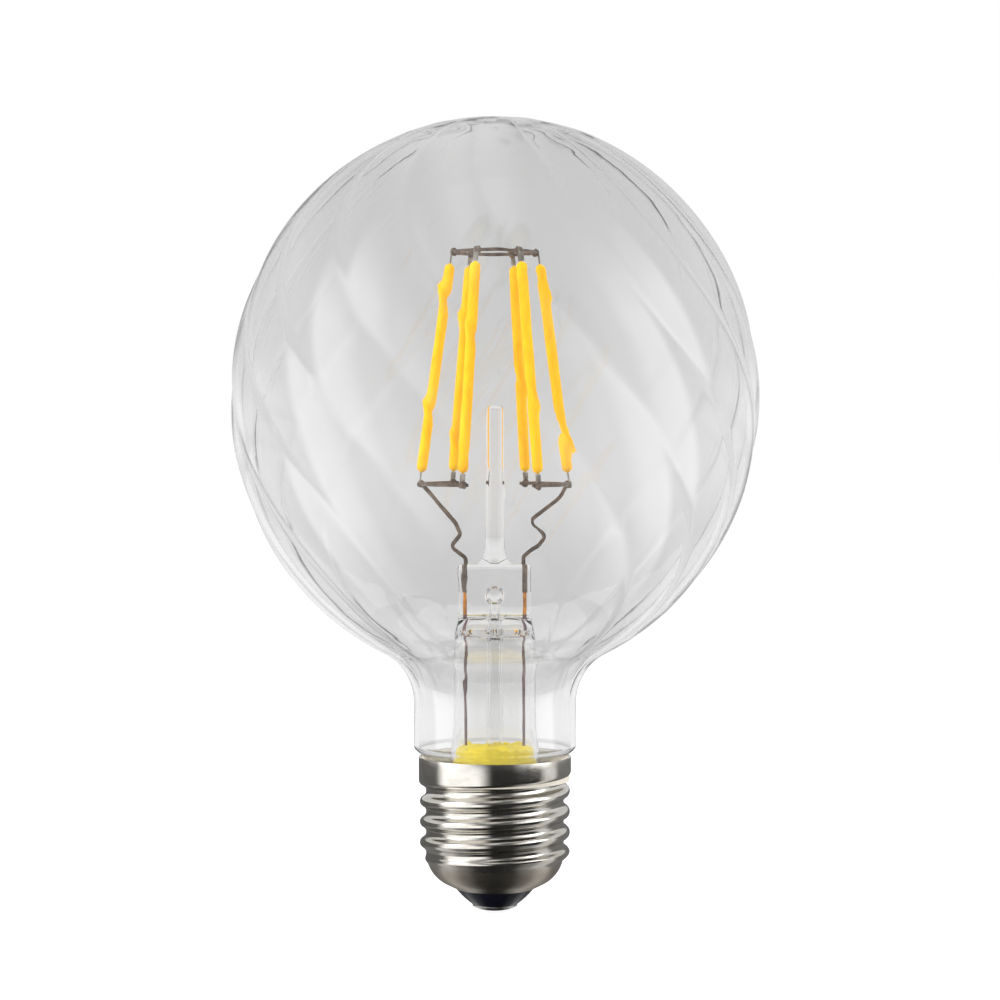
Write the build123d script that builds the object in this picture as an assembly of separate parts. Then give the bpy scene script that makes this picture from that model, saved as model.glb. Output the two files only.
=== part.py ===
from build123d import *
import os
from math import acos, atan2, cos, degrees, hypot, radians, sin, tan, tanh

# Globe lamp with LED filaments, a twisted and lobed envelope and a 27 mm screw cap.
# Millimetres. +Z runs up the lamp's axis, the origin is the tip of the centre contact, and -Y is the front.

# Screw cap
CAP_HEIGHT = 27.0             # rim of the collar above the tip
SHEET = 0.3                   # wall of the shell
COLLAR_R = 13.4               # outside of the plain collar
COLLAR_STEP = 0.64            # from the collar's foot down to the thread's first root
STEP_ROUNDING = 0.3           # under the collar
THREAD_MAJOR_R = 13.2
THREAD_DEPTH = 1.1
THREAD_PITCH = 3.629
THREAD_CRESTS = 3
THREAD_ABOVE_CORNER = 4.62    # thread's last root above the corner of the closed end
CAP_END_SLOPE = 26.6          # degrees, cone that closes the shell's lower end
CAP_END_ROUNDING = 6.0
END_HOLE_R = 6.9              # hole in the closed end, which the insulator fills
END_HOLE_Z = 3.75

# Insulator and centre contact
INSULATOR_HEIGHT = 2.6        # above the hole, inside the shell
INSULATOR_BULGE = 0.1         # outward and down, at the middle of its slope
CONTACT_R = 3.9
CONTACT_FLAT_R = 1.6
CONTACT_HEIGHT = 0.95
CONTACT_EDGE = 0.25           # upright edge of the contact plate, above its domed face
EYELET_R = 2.0
EYELET_HOLE_R = 0.9
EYELET_HEAD_R = 2.7
EYELET_HEAD_HEIGHT = 0.3

# Envelope
GLOBE_R = 46.25
GLOBE_HALF_HEIGHT = 49.25
CENTRE_ABOVE_RIM = 62.9       # globe's centre above the cap's rim
LOBES = 16
LOBE_DEPTH = 0.6              # of the grooves between the lobes
LOBE_TWIST = 40.0             # degrees that a groove turns between the equator and either end
TWIST_ARC = 81.0              # degrees of a sine over which that turn dies away
GROOVE_AT_FRONT = 7.1         # degrees right of the front where a groove crosses the equator
POLE_FADE = 12.0              # radius over which the grooves fade in from the pole
NECK_FADE = 8.0               # and from the hollow curve above the neck
POLE_FLAT_R = 1.5
GLOBE_WALL = 0.5              # at the bottom of a groove
POLE_WALL = 0.9
NECK_R = 14.3
NECK_WALL = 0.9
NECK_ROUNDING = 7.0           # hollow curve from the neck out to the globe
SHOULDER_HEIGHT = 1.6         # height above the rim where the neck draws in
SHOULDER_ROUNDING = 0.7
SPIGOT_TOP_R = 12.5
SPIGOT_R = 11.5
SPIGOT_DEPTH = 3.0            # glass below the foot of the cap's collar
GLOBE_RINGS = 20              # lofted sections up the globe
CEMENT_SETBACK = 0.15         # cement below the rim

# Stem, exhaust tube and post
STEM_R = 7.2
STEM_WALL = 0.9
FLARE_ABOVE_RIM = 7.0         # height where the tube starts to flare
FLARE_RIM = 0.9               # height of the flare's edge, fused to the spigot
PRESS_ABOVE_RIM = 24.5        # end of the tube's bore
PRESS_HEIGHT = 9.5
PRESS_WIDTH = 12.8
PRESS_THICKNESS = 5.2
PRESS_CORNER = 2.2
PRESS_TOP_ROUNDING = 0.4
PRESS_DRAW = 3.5              # height over which the tube is pinched flat
PRESS_SLOT_WALL = 0.75        # glass round the pinched end of the bore
EYE_R = 1.8
EYE_ABOVE_BORE = 4.0
EXHAUST_R = 1.5
EXHAUST_BORE_R = 0.9
EXHAUST_TIP_ABOVE_RIM = 3.5
EXHAUST_TIP_LENGTH = 2.0
EXHAUST_TIP_R = 0.5
EXHAUST_TIP_WALL = 0.8
POST_R = 1.6
POST_FOOT_R = 2.15
POST_FOOT_HEIGHT = 5.0
POST_LENGTH = 27.6
POST_TIP_ROUNDING = 0.8

# Wires
LEAD_SPACING = 10.2           # between the two wires in the press
INNER_LEAD_R = 0.35
SEAL_WIRE_R = 0.25
OUTER_LEAD_R = 0.25
BRIDGE_R = 0.3                # bridge wires and top hoop
SEAL_LENGTH = 4.0
SEAL_ABOVE_BORE = 0.5         # lower ends of the seal wires above the end of the bore
WELD_GAP = 0.03               # between a wire and what is welded to it
LEAD_END_SHORT = 0.15         # inner lead's end short of the middle of the bridge wire it is cut to fit
# Bends of each inner lead: outward from the wire in the press, height above the press, and radius.
LEFT_LEAD_BENDS = [(0.0, 1.0, 0.8), (2.6, 3.0, 0.8), (0.9, 5.2, 0.8), (1.9, 7.2, 1.5)]
RIGHT_LEAD_BENDS = [(0.0, 1.2, 0.8), (4.2, 4.9, 0.9), (0.8, 7.3, 0.9), (6.4, 11.6, 3.0)]

# Filaments
FILAMENTS = 6
FILAMENT_R = 0.98
FILAMENT_LENGTH = 37.0
FILAMENT_END_ROUNDING = 0.3
FILAMENT_LEAN = 7.9           # degrees, in towards the top
FILAMENT_RING_R = 13.0        # at the filaments' lower ends
FILAMENT_TURN = 5.0           # degrees that the ring of filaments is turned to the right
BRIDGE_ABOVE_PRESS = 13.9
BRIDGE_OVERRUN = 4.0          # degrees of wire past the outermost filaments
TAB_LENGTH = 1.9              # from a filament's end to the middle of its wire
TAB_WIDTH = 0.9
TAB_THICKNESS = 0.25
TAB_PAST_WIRE = 0.45

# Driver inside the cap
BOARD_WIDTH = 16.0
BOARD_HEIGHT = 13.0
BOARD_THICKNESS = 1.0
BOARD_TOP_BELOW_RIM = 4.0
ADHESIVE_TOP_ABOVE_RIM = 1.9
ADHESIVE_DEPTH = 7.0
ADHESIVE_CROWN = 0.6
CAPACITOR_R = 3.0
CAPACITOR_LENGTH = 9.0
CAPACITOR_X = -4.0
RECTIFIER_SIZE = (4.7, 1.6, 3.9)
RECTIFIER_X = 4.0
CHIP_SIZE = (4.9, 1.5, 3.9)
CHIP_X = 3.5
FUSE_R = 1.1
FUSE_LENGTH = 6.0
FUSE_X = -4.5
PART_ROUNDING = 0.3
SOLDER_GAP = 0.03             # between a round part and the board
WIRE_R = 0.3                  # live and neutral wires

# Radii and levels that several pieces share
ROOT_R = THREAD_MAJOR_R - THREAD_DEPTH
END_CORNER_Z = END_HOLE_Z + (ROOT_R - END_HOLE_R) * tan(radians(CAP_END_SLOPE))
LAST_ROOT_Z = END_CORNER_Z + THREAD_ABOVE_CORNER
FIRST_ROOT_Z = LAST_ROOT_Z + THREAD_CRESTS * THREAD_PITCH
COLLAR_FOOT_Z = FIRST_ROOT_Z + COLLAR_STEP
INSULATOR_TOP_Z = END_HOLE_Z + INSULATOR_HEIGHT
GLOBE_Z = CAP_HEIGHT + CENTRE_ABOVE_RIM
SPIGOT_FOOT_Z = COLLAR_FOOT_Z - SPIGOT_DEPTH
SPIGOT_BORE_R = SPIGOT_R - NECK_WALL
FLARE_Z = CAP_HEIGHT + FLARE_ABOVE_RIM
STEM_BORE_R = STEM_R - STEM_WALL
BORE_TOP_Z = CAP_HEIGHT + PRESS_ABOVE_RIM
PINCH_Z = BORE_TOP_Z - PRESS_DRAW
PRESS_TOP_Z = BORE_TOP_Z + PRESS_HEIGHT
EYE_Z = BORE_TOP_Z + EYE_ABOVE_BORE
SEAL_FOOT_Z = BORE_TOP_Z + SEAL_ABOVE_BORE
SEAL_TOP_Z = SEAL_FOOT_Z + SEAL_LENGTH
BRIDGE_Z = PRESS_TOP_Z + BRIDGE_ABOVE_PRESS
FILAMENT_FOOT_Z = BRIDGE_Z + TAB_LENGTH
FILAMENT_RISE = FILAMENT_LENGTH * cos(radians(FILAMENT_LEAN))
HOOP_Z = FILAMENT_FOOT_Z + FILAMENT_RISE + TAB_LENGTH
TAB_OFFSET = (BRIDGE_R + TAB_THICKNESS / 2) / cos(radians(FILAMENT_LEAN)) + WELD_GAP
BRIDGE_RING_R = FILAMENT_RING_R + TAB_LENGTH * tan(radians(FILAMENT_LEAN)) - TAB_OFFSET
HOOP_RING_R = FILAMENT_RING_R - (FILAMENT_RISE + TAB_LENGTH) * tan(radians(FILAMENT_LEAN)) - TAB_OFFSET
BOARD_TOP_Z = CAP_HEIGHT - BOARD_TOP_BELOW_RIM
BOARD_FOOT_Z = BOARD_TOP_Z - BOARD_HEIGHT
BOARD_FACE_Y = BOARD_THICKNESS / 2
LEAD_X = LEAD_SPACING / 2
LEFT, RIGHT = -1, 1


def ring_point(angle, radius, z):
    """Point on a circle round the axis, by its angle in degrees to the right of the front."""
    return Vector(radius * sin(radians(angle)), -radius * cos(radians(angle)), z)


def turned(*outline):
    """Solid turned about the axis from the lines of a closed half section, drawn as (radius, height)."""
    return revolve(Plane.XZ * make_face(outline), Axis.Z)


def drum(radius, foot_z, top_z):
    """Cylinder on the axis between two heights."""
    return Pos(0, 0, foot_z) * Cylinder(radius, top_z - foot_z, align=(Align.CENTER, Align.CENTER, Align.MIN))


def rod(start, end, radius):
    """Straight round bar between two points."""
    start, end = Vector(start), Vector(end)
    return extrude(Plane(start, z_dir=end - start) * Circle(radius), (end - start).length)


def bent_wire(path, radius):
    """Round wire along a path."""
    return sweep(Plane(path @ 0, z_dir=path % 0) * Circle(radius), path=path)


# Screw cap

def shell_outside():
    """Outer line of the shell, from its rim down the rolled thread to the hole in its closed end."""
    flank_r = THREAD_MAJOR_R - THREAD_DEPTH / 2
    line = FilletPolyline(
        (COLLAR_R, CAP_HEIGHT), (COLLAR_R, COLLAR_FOOT_Z), (ROOT_R, FIRST_ROOT_Z), radius=[STEP_ROUNDING])
    for crest in range(THREAD_CRESTS):
        root_z = FIRST_ROOT_Z - crest * THREAD_PITCH
        crest_z = root_z - THREAD_PITCH / 2
        over, under = (flank_r, crest_z + THREAD_PITCH / 4), (flank_r, crest_z - THREAD_PITCH / 4)
        line += TangentArc((ROOT_R, root_z), over, tangent=(0, -1))
        line += ThreePointArc(over, (THREAD_MAJOR_R, crest_z), under)
        line += TangentArc((ROOT_R, root_z - THREAD_PITCH), under, tangent=(0, 1))
    line += FilletPolyline(
        (ROOT_R, LAST_ROOT_Z), (ROOT_R, END_CORNER_Z), (END_HOLE_R, END_HOLE_Z), radius=[CAP_END_ROUNDING])
    return line


def shell_inside():
    """Inner line of the shell's sheet, and its ends at the rim and at the hole."""
    inside = offset(shell_outside(), amount=SHEET, side=Side.RIGHT, closed=False)
    ends = sorted(inside.vertices(), key=lambda corner: corner.Y)
    return inside, ends[-1], ends[0]


def shell_hollow():
    """Space inside the shell, from its rim down to the inner edge of the hole."""
    inside, rim, hole = shell_inside()
    return turned(inside, Polyline((hole.X, hole.Y), (0, hole.Y), (0, rim.Y), (rim.X, rim.Y)))


def screw_shell():
    """Rolled sheet cap: plain collar, thread and closed-in end."""
    inside, rim, hole = shell_inside()
    return turned(
        shell_outside(), inside,
        Line((COLLAR_R, CAP_HEIGHT), (rim.X, rim.Y)),
        Line((END_HOLE_R, END_HOLE_Z), (hole.X, hole.Y)))


def insulator():
    """Black glass in the shell's closed end, with the eyelet's hole through it."""
    inside = shell_hollow() & drum(COLLAR_R, 0, INSULATOR_TOP_Z)
    _, _, edge = shell_inside()
    middle_r, middle_z = (END_HOLE_R + CONTACT_R) / 2, (END_HOLE_Z + CONTACT_HEIGHT) / 2
    middle = (middle_r + INSULATOR_BULGE, middle_z - INSULATOR_BULGE)
    cone = turned(
        Polyline((CONTACT_R, CONTACT_HEIGHT), (0, CONTACT_HEIGHT), (0, edge.Y), (edge.X, edge.Y),
                 (END_HOLE_R, END_HOLE_Z)),
        ThreePointArc((END_HOLE_R, END_HOLE_Z), middle, (CONTACT_R, CONTACT_HEIGHT)),
    )
    return inside + cone - drum(EYELET_R, 0, INSULATOR_TOP_Z)


def centre_contact():
    """Contact plate, domed round a flat tip, with the eyelet that holds it in the insulator."""
    dome_z = CONTACT_HEIGHT - CONTACT_EDGE
    head_z = INSULATOR_TOP_Z + EYELET_HEAD_HEIGHT
    return turned(
        TangentArc((CONTACT_FLAT_R, 0), (CONTACT_R, dome_z), tangent=(1, 0)),
        Polyline(
            (CONTACT_R, dome_z), (CONTACT_R, CONTACT_HEIGHT), (EYELET_R, CONTACT_HEIGHT),
            (EYELET_R, INSULATOR_TOP_Z), (EYELET_HEAD_R, INSULATOR_TOP_Z), (EYELET_HEAD_R, head_z),
            (EYELET_HOLE_R, head_z), (EYELET_HOLE_R, CONTACT_HEIGHT), (0, CONTACT_HEIGHT), (0, 0),
            (CONTACT_FLAT_R, 0)),
    )


# Glass envelope

def neck_join(half_width, half_height, neck_r, rounding):
    """Where the hollow curve leaves the neck: the angle on the ellipse, and the curve's centre."""
    low, high = radians(-90), 0.0
    for _ in range(60):
        angle = (low + high) / 2
        slope_r, slope_z = half_height * cos(angle), half_width * sin(angle)
        reach = rounding / hypot(slope_r, slope_z)
        centre_r = half_width * cos(angle) + reach * slope_r
        centre_z = GLOBE_Z + half_height * sin(angle) + reach * slope_z
        if centre_r > neck_r + rounding:
            high = angle
        else:
            low = angle
    return degrees(angle), (centre_r, centre_z), degrees(atan2(-slope_z, -slope_r))


def globe_line(half_width, half_height, join):
    """Half of an ellipse, from the hollow curve up to the pole."""
    angles = [radians(join + (90 - join) * step / GLOBE_RINGS) for step in range(GLOBE_RINGS + 1)]
    points = [(half_width * cos(angle), GLOBE_Z + half_height * sin(angle)) for angle in angles]
    start = (-half_width * sin(angles[0]), half_height * cos(angles[0]))
    return Spline(points, tangents=[start, (-1, 0)])


def lobed_ring(radius, z, lowest_r):
    """One level of the globe: an arc for each lobe, bulging between two grooves."""
    turn = GROOVE_AT_FRONT - LOBE_TWIST * sin(radians(TWIST_ARC) * (z - GLOBE_Z) / GLOBE_HALF_HEIGHT)
    fade = tanh(radius / POLE_FADE) if z > GLOBE_Z else tanh((radius - lowest_r) / NECK_FADE)
    groove_r = radius - LOBE_DEPTH * fade
    step = 360 / LOBES
    arcs = []
    for lobe in range(LOBES):
        start = turn + lobe * step
        arcs.append(ThreePointArc(
            ring_point(start, groove_r, z),
            ring_point(start + step / 2, radius, z),
            ring_point(start + step, groove_r, z)))
    return Wire(arcs)


def lobed_globe():
    """Solid of the globe above the hollow curve, lofted up through lobed rings."""
    join, _, _ = neck_join(GLOBE_R, GLOBE_HALF_HEIGHT, NECK_R, NECK_ROUNDING)
    top = degrees(acos(POLE_FLAT_R / GLOBE_R))
    lowest_r = GLOBE_R * cos(radians(join))
    rings = []
    for ring in range(GLOBE_RINGS):
        angle = radians(join + (top - join) * ring / (GLOBE_RINGS - 1))
        rings.append(lobed_ring(GLOBE_R * cos(angle), GLOBE_Z + GLOBE_HALF_HEIGHT * sin(angle), lowest_r))
    return Solid.make_loft(rings)


def neck_line(wall, top_z):
    """Outer line of the neck and spigot, or their bore at a wall's thickness, from the globe down."""
    return FilletPolyline(
        (NECK_R - wall, top_z),
        (NECK_R - wall, CAP_HEIGHT + SHOULDER_HEIGHT),
        (SPIGOT_TOP_R - wall, CAP_HEIGHT),
        (SPIGOT_R - wall, COLLAR_FOOT_Z),
        (SPIGOT_R - wall, SPIGOT_FOOT_Z),
        radius=[SHOULDER_ROUNDING, SHOULDER_ROUNDING, SHOULDER_ROUNDING],
    )


def neck_solid():
    """Spigot, neck and hollow curve, filled to the axis."""
    join, (centre_r, centre_z), curve_end = neck_join(GLOBE_R, GLOBE_HALF_HEIGHT, NECK_R, NECK_ROUNDING)
    top_r = GLOBE_R * cos(radians(join))
    top_z = GLOBE_Z + GLOBE_HALF_HEIGHT * sin(radians(join))
    return turned(
        CenterArc((centre_r, centre_z), NECK_ROUNDING, curve_end, 180 - curve_end),
        neck_line(0, centre_z),
        Polyline((SPIGOT_R, SPIGOT_FOOT_Z), (0, SPIGOT_FOOT_Z), (0, top_z), (top_r, top_z)),
    )


def envelope_bore():
    """Smooth space inside the envelope, open at the spigot's foot."""
    half_width = GLOBE_R - LOBE_DEPTH - GLOBE_WALL
    half_height = GLOBE_HALF_HEIGHT - POLE_WALL
    rounding = NECK_ROUNDING + NECK_WALL
    join, (centre_r, centre_z), curve_end = neck_join(half_width, half_height, NECK_R - NECK_WALL, rounding)
    return turned(
        globe_line(half_width, half_height, join),
        CenterArc((centre_r, centre_z), rounding, curve_end, 180 - curve_end),
        neck_line(NECK_WALL, centre_z),
        Polyline((SPIGOT_BORE_R, SPIGOT_FOOT_Z), (0, SPIGOT_FOOT_Z), (0, GLOBE_Z + half_height)),
    )


def glass_envelope():
    """Blown globe with twisted lobes outside and a smooth bore, its neck and the spigot for the cap."""
    return lobed_globe() + neck_solid() - envelope_bore()


def basing_cement():
    """Ring of cement between the spigot and the collar."""
    top_z = CAP_HEIGHT - CEMENT_SETBACK
    foot_z = COLLAR_FOOT_Z + SHEET
    return drum(COLLAR_R - SHEET, foot_z, top_z) - neck_solid()


# Stem

def flared_tube(radius, rim_r, rim_height):
    """Solid bounded by a tube that flares out to a rim at the spigot's foot."""
    rim_z = SPIGOT_FOOT_Z + rim_height
    tube = turned(
        Polyline((radius, FLARE_Z), (radius, PINCH_Z), (0, PINCH_Z), (0, rim_z), (rim_r, rim_z)),
        TangentArc((radius, FLARE_Z), (rim_r, rim_z), tangent=(0, -1)),
    )
    return tube + drum(rim_r, SPIGOT_FOOT_Z, rim_z)


def stem_bore():
    """Space inside the stem: flare, tube and the slot where it is pinched shut."""
    slot = RectangleRounded(PRESS_WIDTH - 2 * PRESS_SLOT_WALL, PRESS_THICKNESS - 2 * PRESS_SLOT_WALL,
                            PRESS_CORNER - PRESS_SLOT_WALL)
    pinch = loft([Pos(0, 0, PINCH_Z) * Circle(STEM_BORE_R), Pos(0, 0, BORE_TOP_Z) * slot])
    return flared_tube(STEM_BORE_R, SPIGOT_BORE_R - STEM_WALL, FLARE_RIM) + pinch


def glass_stem():
    """Flared stem tube pinched into a flat press, with the wires' channels and the exhaust eye."""
    slab = RectangleRounded(PRESS_WIDTH, PRESS_THICKNESS, PRESS_CORNER)
    pinch_top = BORE_TOP_Z + SEAL_ABOVE_BORE
    pinch = loft([Pos(0, 0, PINCH_Z) * Circle(STEM_R), Pos(0, 0, pinch_top) * slab])
    press = extrude(Pos(0, 0, pinch_top) * slab, PRESS_TOP_Z - pinch_top)
    press = fillet(press.faces().sort_by(Axis.Z)[-1].edges(), PRESS_TOP_ROUNDING)
    stem = flared_tube(STEM_R, SPIGOT_BORE_R, FLARE_RIM) + pinch + press - stem_bore()
    stem -= Pos(0, 0, EYE_Z) * Rot(90, 0, 0) * Cylinder(EYE_R, 2 * STEM_R)
    stem -= drum(EXHAUST_BORE_R, BORE_TOP_Z, EYE_Z)
    for side in (LEFT, RIGHT):
        stem -= outer_lead(side) + seal_wire(side)
        stem -= rod((side * LEAD_X, 0, SEAL_TOP_Z), (side * LEAD_X, 0, PRESS_TOP_Z), INNER_LEAD_R)
    return stem


def exhaust_tube():
    """Thin tube below the press, tipped off at its lower end."""
    tip_z = CAP_HEIGHT + EXHAUST_TIP_ABOVE_RIM
    shoulder_z = tip_z + EXHAUST_TIP_LENGTH
    return turned(Polyline(
        (EXHAUST_BORE_R, BORE_TOP_Z), (EXHAUST_R, BORE_TOP_Z), (EXHAUST_R, shoulder_z),
        (EXHAUST_TIP_R, tip_z), (0, tip_z), (0, tip_z + EXHAUST_TIP_WALL),
        (EXHAUST_BORE_R, shoulder_z + EXHAUST_TIP_WALL), close=True))


def glass_post():
    """Clear rod that stands on the press, with a spread foot and a fire-rounded tip."""
    foot_top, tip = PRESS_TOP_Z + POST_FOOT_HEIGHT, PRESS_TOP_Z + POST_LENGTH
    post = turned(
        Polyline((POST_R, foot_top), (POST_R, tip), (0, tip), (0, PRESS_TOP_Z), (POST_FOOT_R, PRESS_TOP_Z)),
        TangentArc((POST_R, foot_top), (POST_FOOT_R, PRESS_TOP_Z), tangent=(0, -1)),
    )
    return fillet(post.edges().group_by(Axis.Z)[-1], POST_TIP_ROUNDING)


# Wires

def inner_lead(side, bends):
    """Bent wire from the press up and out to the middle of a bridge wire."""
    points = [Vector(side * LEAD_X, 0, SEAL_TOP_Z)]
    for out, up, _ in bends:
        points.append(Vector(side * (LEAD_X + out), 0, PRESS_TOP_Z + up))
    weld = ring_point(FILAMENT_TURN + side * 90, BRIDGE_RING_R, BRIDGE_Z)
    last_run = weld - points[-1]
    points.append(weld - last_run.normalized() * LEAD_END_SHORT)
    path = FilletPolyline(*points, radius=[radius for _, _, radius in bends])
    return bent_wire(path, INNER_LEAD_R) - bridge_wire(side)


def seal_wire(side):
    """Copper-clad length of lead, sealed in the press."""
    return rod((side * LEAD_X, 0, SEAL_FOOT_Z), (side * LEAD_X, 0, SEAL_TOP_Z), SEAL_WIRE_R)


def outer_lead(side):
    """Thin lead from the press down to the driver board."""
    return rod((side * LEAD_X, 0, BOARD_TOP_Z), (side * LEAD_X, 0, SEAL_FOOT_Z), OUTER_LEAD_R)


def bridge_wire(side):
    """Arc of wire that joins the lower ends of the filaments on one side."""
    reach = 180 / FILAMENTS * (FILAMENTS / 2 - 1) + BRIDGE_OVERRUN
    middle = FILAMENT_TURN + side * 90
    arc = ThreePointArc(*[ring_point(middle + turn, BRIDGE_RING_R, BRIDGE_Z) for turn in (-reach, 0, reach)])
    return bent_wire(arc, BRIDGE_R)


def top_hoop():
    """Wire ring that joins the filaments' upper ends."""
    return Pos(0, 0, HOOP_Z) * Torus(HOOP_RING_R, BRIDGE_R)


# Filaments

def filament_plane(index, along):
    """Plane across a filament, a distance up it from its lower end, with its x axis round the lamp."""
    angle = FILAMENT_TURN + 90 + index * 360 / FILAMENTS
    lean = radians(FILAMENT_LEAN)
    inward = ring_point(angle, -1, 0)
    upward = inward * sin(lean) + Vector(0, 0, cos(lean))
    foot = ring_point(angle, FILAMENT_RING_R, FILAMENT_FOOT_Z)
    return Plane(foot + upward * along, x_dir=ring_point(angle + 90, 1, 0), z_dir=upward)


def filament(index):
    """Coated LED strip, rounded at both ends."""
    strip = extrude(filament_plane(index, 0) * Circle(FILAMENT_R), FILAMENT_LENGTH)
    return fillet(strip.edges().filter_by(GeomType.CIRCLE), FILAMENT_END_ROUNDING)


def end_tabs(along, direction):
    """Flat metal tab at one end of every filament, reaching just past its wire."""
    reach = TAB_LENGTH / cos(radians(FILAMENT_LEAN)) + TAB_PAST_WIRE
    tabs = []
    for index in range(FILAMENTS):
        tab = filament_plane(index, along) * Rectangle(TAB_WIDTH, TAB_THICKNESS)
        tabs.append(extrude(tab, direction * reach).solid())
    return Compound(tabs)


# Driver

def board():
    """Upright driver board, its top edge held in the adhesive."""
    return Pos(0, 0, (BOARD_FOOT_Z + BOARD_TOP_Z) / 2) * Box(BOARD_WIDTH, BOARD_THICKNESS, BOARD_HEIGHT)


def moulded(size, x, side):
    """Rounded package lying on one face of the board."""
    package = Box(*size)
    package = fillet(package.edges(), PART_ROUNDING)
    y = side * (BOARD_FACE_Y + size[1] / 2)
    return Pos(x, y, (BOARD_FOOT_Z + BOARD_TOP_Z) / 2) * package


def round_part(radius, length, x, side):
    """Round component standing along one face of the board."""
    can = fillet(Cylinder(radius, length).edges().filter_by(GeomType.CIRCLE), PART_ROUNDING)
    y = side * (BOARD_FACE_Y + radius + SOLDER_GAP)
    return Pos(x, y, (BOARD_FOOT_Z + BOARD_TOP_Z) / 2) * can


def driver_adhesive():
    """Plug of adhesive in the flare's mouth, round the leads and the board's top edge."""
    top_z = CAP_HEIGHT + ADHESIVE_TOP_ABOVE_RIM
    foot_z = top_z - ADHESIVE_DEPTH
    crown = top_z + ADHESIVE_CROWN
    band = turned(
        Polyline((SPIGOT_R, top_z), (SPIGOT_R, foot_z), (0, foot_z), (0, crown)),
        TangentArc((0, crown), (SPIGOT_R, top_z), tangent=(1, 0)),
    )
    return (band & stem_bore()) - board() - outer_lead(LEFT) - outer_lead(RIGHT)


def live_wire():
    """Wire from the board's foot down into the eyelet."""
    return rod((0, 0, CONTACT_HEIGHT), (0, 0, BOARD_FOOT_Z), WIRE_R)


def neutral_wire():
    """Wire from the board's edge out to the shell, at the thread's lowest root."""
    end_r = ROOT_R - SHEET - WELD_GAP
    return rod((BOARD_WIDTH / 2, 0, LAST_ROOT_Z), (end_r, 0, LAST_ROOT_Z), WIRE_R)


pieces = {
    "glass_envelope": glass_envelope(),
    "basing_cement": basing_cement(),
    "screw_shell": screw_shell(),
    "insulator": insulator(),
    "centre_contact": centre_contact(),
    "glass_stem": glass_stem(),
    "exhaust_tube": exhaust_tube(),
    "glass_post": glass_post(),
    "inner_lead_left": inner_lead(LEFT, LEFT_LEAD_BENDS),
    "inner_lead_right": inner_lead(RIGHT, RIGHT_LEAD_BENDS),
    "seal_wire_left": seal_wire(LEFT),
    "seal_wire_right": seal_wire(RIGHT),
    "outer_lead_left": outer_lead(LEFT),
    "outer_lead_right": outer_lead(RIGHT),
    "bridge_wire_left": bridge_wire(LEFT),
    "bridge_wire_right": bridge_wire(RIGHT),
    "top_hoop": top_hoop(),
    "lower_end_tabs": end_tabs(0, -1),
    "upper_end_tabs": end_tabs(FILAMENT_LENGTH, 1),
    "driver_adhesive": driver_adhesive(),
    "driver_board": board(),
    "rectifier": moulded(RECTIFIER_SIZE, RECTIFIER_X, -1),
    "driver_chip": moulded(CHIP_SIZE, CHIP_X, 1),
    "smoothing_capacitor": round_part(CAPACITOR_R, CAPACITOR_LENGTH, CAPACITOR_X, -1),
    "fuse_resistor": round_part(FUSE_R, FUSE_LENGTH, FUSE_X, 1),
    "live_wire": live_wire(),
    "neutral_wire": neutral_wire(),
}
for index in range(FILAMENTS):
    pieces[f"filament_{index + 1}"] = filament(index)

os.makedirs("parts", exist_ok=True)
for name, piece in pieces.items():
    export_step(piece, f"parts/{name}.step")
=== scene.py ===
"""Globe lamp with LED filaments in a twisted, lobed glass envelope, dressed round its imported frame."""

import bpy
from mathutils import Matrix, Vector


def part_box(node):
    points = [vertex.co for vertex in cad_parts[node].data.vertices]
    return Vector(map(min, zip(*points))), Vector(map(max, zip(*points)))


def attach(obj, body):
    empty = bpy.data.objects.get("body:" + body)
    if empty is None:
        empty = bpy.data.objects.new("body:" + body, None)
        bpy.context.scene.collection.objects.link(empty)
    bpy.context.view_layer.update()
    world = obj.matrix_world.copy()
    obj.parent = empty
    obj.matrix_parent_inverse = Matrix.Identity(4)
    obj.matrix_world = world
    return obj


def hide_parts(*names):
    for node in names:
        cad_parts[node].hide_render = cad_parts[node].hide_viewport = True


bl_info = {
    "name": "Twisted Globe Filament Lamp",
    "version": (1, 0, 0),
    "blender": (4, 5, 0),
    "location": "View3D > Sidebar > Lamp",
    "description": "Builds the pieces, finishes and studio of a globe lamp with LED filaments",
    "category": "Object",
}

from math import atan2, copysign, cos, hypot, pi, radians, sin, tan, tanh

import bmesh
import bpy
from bpy.props import FloatProperty, FloatVectorProperty, IntProperty, PointerProperty
from bpy.types import NodeSocket, Operator, Panel, PropertyGroup
from mathutils import Matrix, Vector, noise

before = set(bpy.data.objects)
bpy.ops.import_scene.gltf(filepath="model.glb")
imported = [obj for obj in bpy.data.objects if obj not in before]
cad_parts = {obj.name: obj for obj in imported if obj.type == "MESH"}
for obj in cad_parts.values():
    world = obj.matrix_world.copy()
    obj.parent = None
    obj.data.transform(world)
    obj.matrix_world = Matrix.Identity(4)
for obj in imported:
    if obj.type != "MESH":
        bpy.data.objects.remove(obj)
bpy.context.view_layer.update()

MM = 0.001
BODY = "root"
SIDES = ("left", "right")
FILAMENT_NODES = sorted(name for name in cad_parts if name.startswith("filament_"))
CAP_HOLE_Z, CAP_RIM_Z = (corner.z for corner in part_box("screw_shell"))
COLLAR_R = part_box("screw_shell")[1].x
ENVELOPE_FOOT_Z, ENVELOPE_TOP_Z = (corner.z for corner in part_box("glass_envelope"))
PRESS_TOP_Z, POST_TOP_Z = (corner.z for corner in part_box("glass_post"))
BORE_TOP_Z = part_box("exhaust_tube")[1].z
ADHESIVE_FOOT_Z, ADHESIVE_TOP_Z = (corner.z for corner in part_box("driver_adhesive"))
EXHAUST_TIP_Z = ADHESIVE_TOP_Z - 3.5 * MM
HOOP_Z = sum(corner.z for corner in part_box("top_hoop")) / 2
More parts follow.
